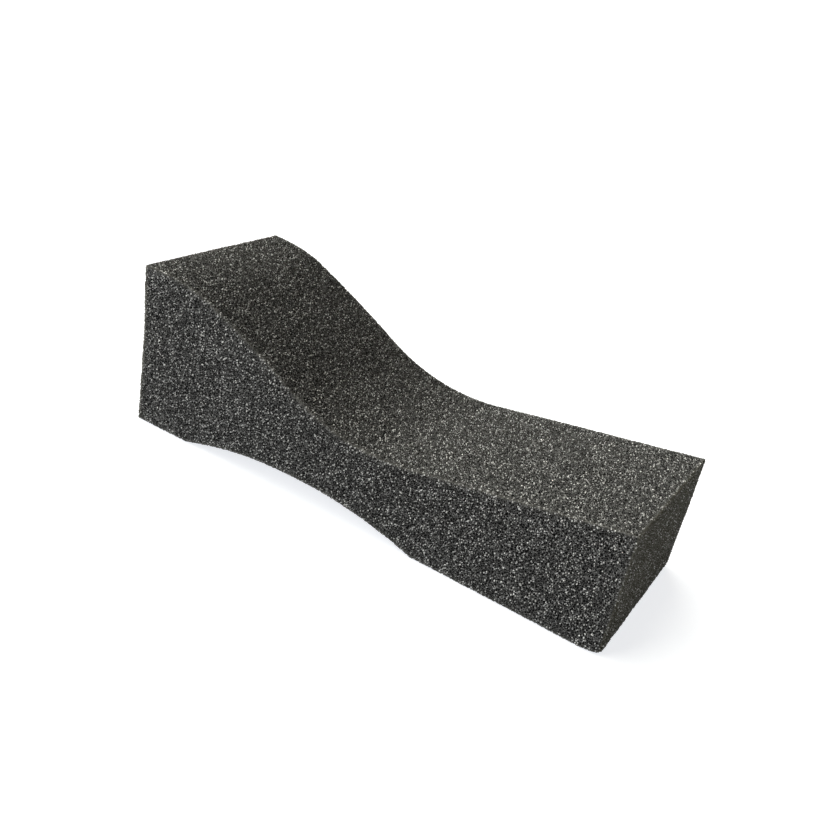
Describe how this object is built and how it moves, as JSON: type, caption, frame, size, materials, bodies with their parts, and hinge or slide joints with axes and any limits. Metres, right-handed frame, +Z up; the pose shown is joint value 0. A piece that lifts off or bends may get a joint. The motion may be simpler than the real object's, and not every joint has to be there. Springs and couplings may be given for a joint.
{
  "type": "back protector",
  "caption": "Contour-cut charcoal foam block: a tall flat-topped end slopes down to a low waist, then a gentle ramp rises to the other end; shallow arch under the waist, flat base.",
  "frame": {"origin": "middle of the block's footprint, on the plane of its flat base", "axes": "+X along the block from the tall end to the low end, +Y across the width towards the back face, +Z up from the base"},
  "size_m": [0.2834, 0.099, 0.0881],
  "materials": {
    "charcoal_foam": "matte open-cell polyurethane foam with saw-cut faces"
  },
  "bodies": {
    "root": {"foam_block": "charcoal_foam"}
  },
  "joints": []
}
